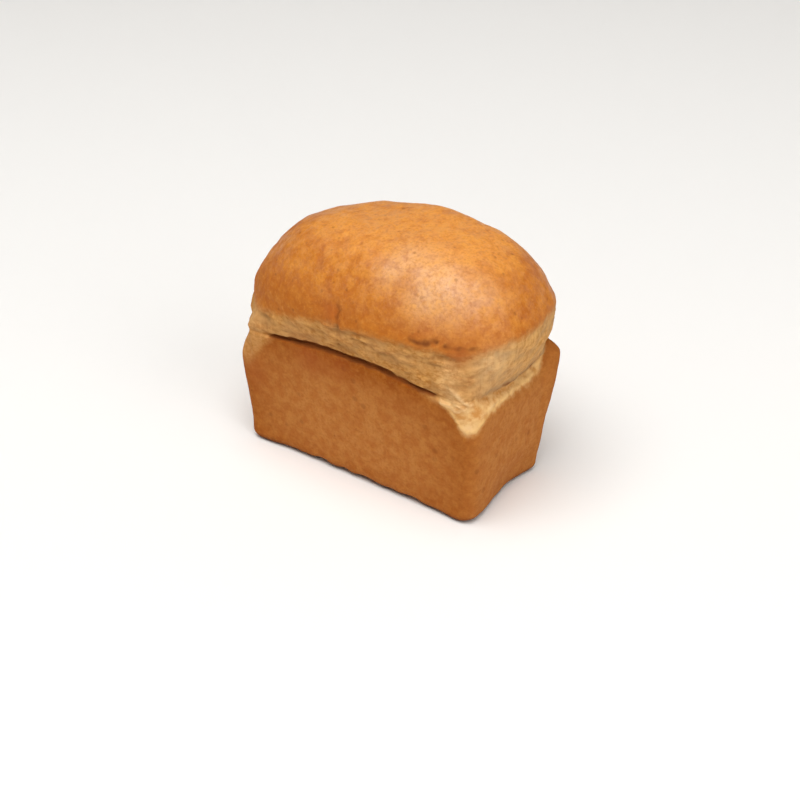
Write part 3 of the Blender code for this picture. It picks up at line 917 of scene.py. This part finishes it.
def dome_colour(f, g):
    """Baked crust: deeper low down, golden on top, mottled and flecked."""
    dome = f.blend(f.step(g.broad, 0.3, 0.7), *DOME)
    dome = f.blend(1.0 - f.step(g.height, 104.0, 138.0), dome, DOME_LOW)
    dome = f.blend(f.step(g.height, 138.0, 152.0) * 0.7, dome, DOME_TOP)
    # painted highlight: the dome's sheen laid on as pale colour
    dome = f.blend(g.pale_crumb_and_sheen * 0.85, dome, DOME_PAINTED_SHEEN)
    upper = f.step(g.height, 112.0, 142.0)
    dome = f.blend(f.step(g.blotch, 0.42, 0.70) * (0.16 + upper * 0.26), dome, DOME_BRIGHT)
    dome = f.blend((1.0 - f.step(g.blotch, 0.30, 0.52)) * 0.36, dome, DOME_DARK)
    # paler specks, stronger under the painted highlight to break it up
    dome = f.blend(f.step(g.speck, 0.46, 0.72) * (0.22 + g.pale_crumb_and_sheen * 0.4), dome, DOME_SPECK)
    dome = f.blend((1.0 - f.step(g.fine, 0.25, 0.6)) * 0.38, dome, DOME_GRAIN)
    return f.blend(flecks(f, g.place, 3.2, 0.05) * 0.4, dome, DOME_FLECK)


def crust_finish():
    """The four colours one above the other, each border ragged, then the marks
    over all of them, painted shade in creases and at the foot among them, a
    patchy sheen on the dome and the grain as bump."""
    f = Finish("baked_crust")
    g = CrustGrain(f)
    soft = 1.3 + 1.3 * (1.0 - g.near) + 1.4 * (1.0 - f.step(g.height, 66.0, 72.0))
    pale = f.step(g.browned + g.ragged * 4.5, -1.6 * soft, 1.6 * soft)
    torn = f.step(g.tear + g.ragged * 1.6, -1.0, 1.2)
    crusted = f.step(g.crust + g.ragged * 7.0, -4.0, 3.0)
    colour = f.blend(pale, wall_colour(f, g), shoulder_colour(f, g))
    colour = f.blend(torn, colour, band_colour(f, g))
    colour = f.blend(crusted, colour, dome_colour(f, g))
    colour = f.blend(g.blush * 0.6, colour, BLUSH)
    # darker brown foot: partly the base's own deeper bake, partly a painted contact shadow along
    # the bottom edge
    colour = f.blend((1.0 - f.step(g.height, 1.0, 6.0)) * 0.8, colour, FOOT_BAKE_AND_SHADOW)
    # painted shade in the tear, the folds and the pits
    colour = f.blend(f.step(g.dark, 0.02, 0.95), colour, PAINTED_CREASE_SHADE)

    patchy = f.step(f.noise(g.place, 7.0, 5.0, 0.75), 0.38, 0.62)
    sheen = crusted * f.step(g.height, 112.0, 134.0) * (0.15 + patchy * 0.85)
    relief = g.speck * 0.6 + g.fine * 0.3 + g.blotch * 0.5
    bump = f.node("Bump", Strength=BUMP_STRENGTH, Distance=BUMP_DEPTH, Height=relief)
    return f.finished(Base_Color=colour, Roughness=CRUMB_ROUGHNESS - crusted * CRUST_SMOOTHER,
                      Specular_IOR_Level=CRUST_SPECULAR, Normal=bump, Coat_Weight=sheen,
                      Coat_Roughness=SHEEN_ROUGHNESS)


def floor_finish():
    """Plain pale floor."""
    f = Finish("pale_floor")
    return f.finished(Base_Color=PALE_FLOOR, Roughness=FLOOR_ROUGHNESS)


# --- the scene ---------------------------------------------------------------
FLOOR_FLAT, FLOOR_CURVE, BACKDROP_TOP = 3.8, 1.4, 6.0      # in metres
FLOOR_TURNS, FLOOR_STEPS = 96, 16
VIEW_AZIMUTH, VIEW_ELEVATION, VIEW_DISTANCE = 35.79, 32.75, 858.0
VIEW_ASIDE, VIEW_HEIGHT = 4.13, 36.28                      # the spot looked at
LENS, SENSOR = 65.25, 36.0
LIGHT_DISTANCE, LIGHT_HEIGHT, WORLD_STRENGTH = 3.0, 0.06, 0.06
# lights: name, azimuth, elevation, size, power
LIGHTS = (("overhead", 2.0, 78.0, 2.8, 53.0), ("front", 40.0, 60.0, 1.75, 24.0),
          ("side", 80.0, 35.0, 2.0, 19.5), ("gloss", -18.0, 64.0, 1.9, 20.2))


def own_object(name, mesh, material):
    """A mesh with its material as an object at the origin."""
    mesh.materials.append(material)
    thing = bpy.data.objects.new(name, mesh)
    bpy.context.scene.collection.objects.link(thing)
    return thing


def floor_mesh():
    """A round floor, flat, then curving up a quarter round into an upright
    backdrop that runs all the way about the loaf."""
    turn = np.linspace(0.0, np.pi / 2, FLOOR_STEPS)
    outer = FLOOR_FLAT + FLOOR_CURVE
    reach = np.concatenate([FLOOR_FLAT + FLOOR_CURVE * np.sin(turn), [outer]])
    z = np.concatenate([FLOOR_CURVE - FLOOR_CURVE * np.cos(turn), [BACKDROP_TOP]])
    around = np.arange(FLOOR_TURNS) / FLOOR_TURNS * 2.0 * np.pi
    points = np.stack([reach[:, None] * np.cos(around), reach[:, None] * np.sin(around),
                       np.broadcast_to(z[:, None], (len(z), FLOOR_TURNS))], -1)
    ids = np.arange(len(z) * FLOOR_TURNS).reshape(-1, FLOOR_TURNS)
    low, high = ids[:-1], ids[1:]
    quads = np.stack([low, high, np.roll(high, -1, 1), np.roll(low, -1, 1)], -1)
    mesh = bpy.data.meshes.new("floor")
    mesh.from_pydata(points.reshape(-1, 3).tolist(), [],
                     [ids[0].tolist()] + quads.reshape(-1, 4).tolist())
    mesh.polygons.foreach_set("use_smooth", np.ones(len(mesh.polygons), dtype=bool))
    return mesh


def toward(azimuth, elevation):
    """Direction from the loaf to a viewer; azimuth 0 looks along +Y."""
    a, e = math.radians(azimuth), math.radians(elevation)
    return np.array([math.sin(a) * math.cos(e), -math.cos(a) * math.cos(e), math.sin(e)])


def look(thing, back, spot):
    """Put a camera or light at spot, facing against the direction back."""
    right = np.cross([0.0, 0.0, 1.0], back)
    right /= np.linalg.norm(right)
    up = np.cross(back, right)
    rows = [[right[i], up[i], back[i], spot[i]] for i in range(3)]
    thing.matrix_world = Matrix(rows + [[0.0, 0.0, 0.0, 1.0]])


def camera(centre):
    """Camera VIEW_DISTANCE from a spot a little aside of the loaf's middle."""
    back = toward(VIEW_AZIMUTH, VIEW_ELEVATION)
    turn = math.radians(VIEW_AZIMUTH)
    right = np.array([math.cos(turn), math.sin(turn), 0.0])
    looked_at = right * VIEW_ASIDE + np.array([0.0, 0.0, VIEW_HEIGHT])
    data = bpy.data.cameras.new("camera")
    data.sensor_width, data.lens = SENSOR, LENS
    data.clip_start, data.clip_end = 0.01, 50.0
    thing = bpy.data.objects.new("camera", data)
    bpy.context.scene.collection.objects.link(thing)
    look(thing, back, from_mm(looked_at + back * VIEW_DISTANCE - centre))
    bpy.context.scene.camera = thing


def soft_light(name, azimuth, elevation, size, power):
    """A round lamp that faces the loaf from LIGHT_DISTANCE metres."""
    data = bpy.data.lights.new(name, "AREA")
    data.shape, data.size, data.energy = "DISK", size, power
    thing = bpy.data.objects.new(name, data)
    bpy.context.scene.collection.objects.link(thing)
    back = toward(azimuth, elevation)
    look(thing, back, back * LIGHT_DISTANCE + np.array([0.0, 0.0, LIGHT_HEIGHT]))


def studio():
    """Dim, nearly white surroundings and the four lamps."""
    world = bpy.data.worlds.new("studio")
    world.use_nodes = True
    background = world.node_tree.nodes["Background"]
    background.inputs["Color"].default_value = STUDIO_WHITE
    background.inputs["Strength"].default_value = WORLD_STRENGTH
    bpy.context.scene.world = world
    bpy.context.scene.view_settings.view_transform = "Standard"
    for lamp in LIGHTS:
        soft_light(*lamp)


def main():
    """Load the frame, and make the loaf and its stage."""
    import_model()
    plan = Plan()
    centre = np.array([DOME_SHIFT[0], DOME_SHIFT[1], 0.0])
    loaf = own_object("loaf", loaf_mesh("loaf", Skin(plan), centre), crust_finish())
    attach(loaf, "root")
    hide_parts("tin_loaf")
    floor = own_object("floor", floor_mesh(), floor_finish())
    camera(centre)
    studio()


main()
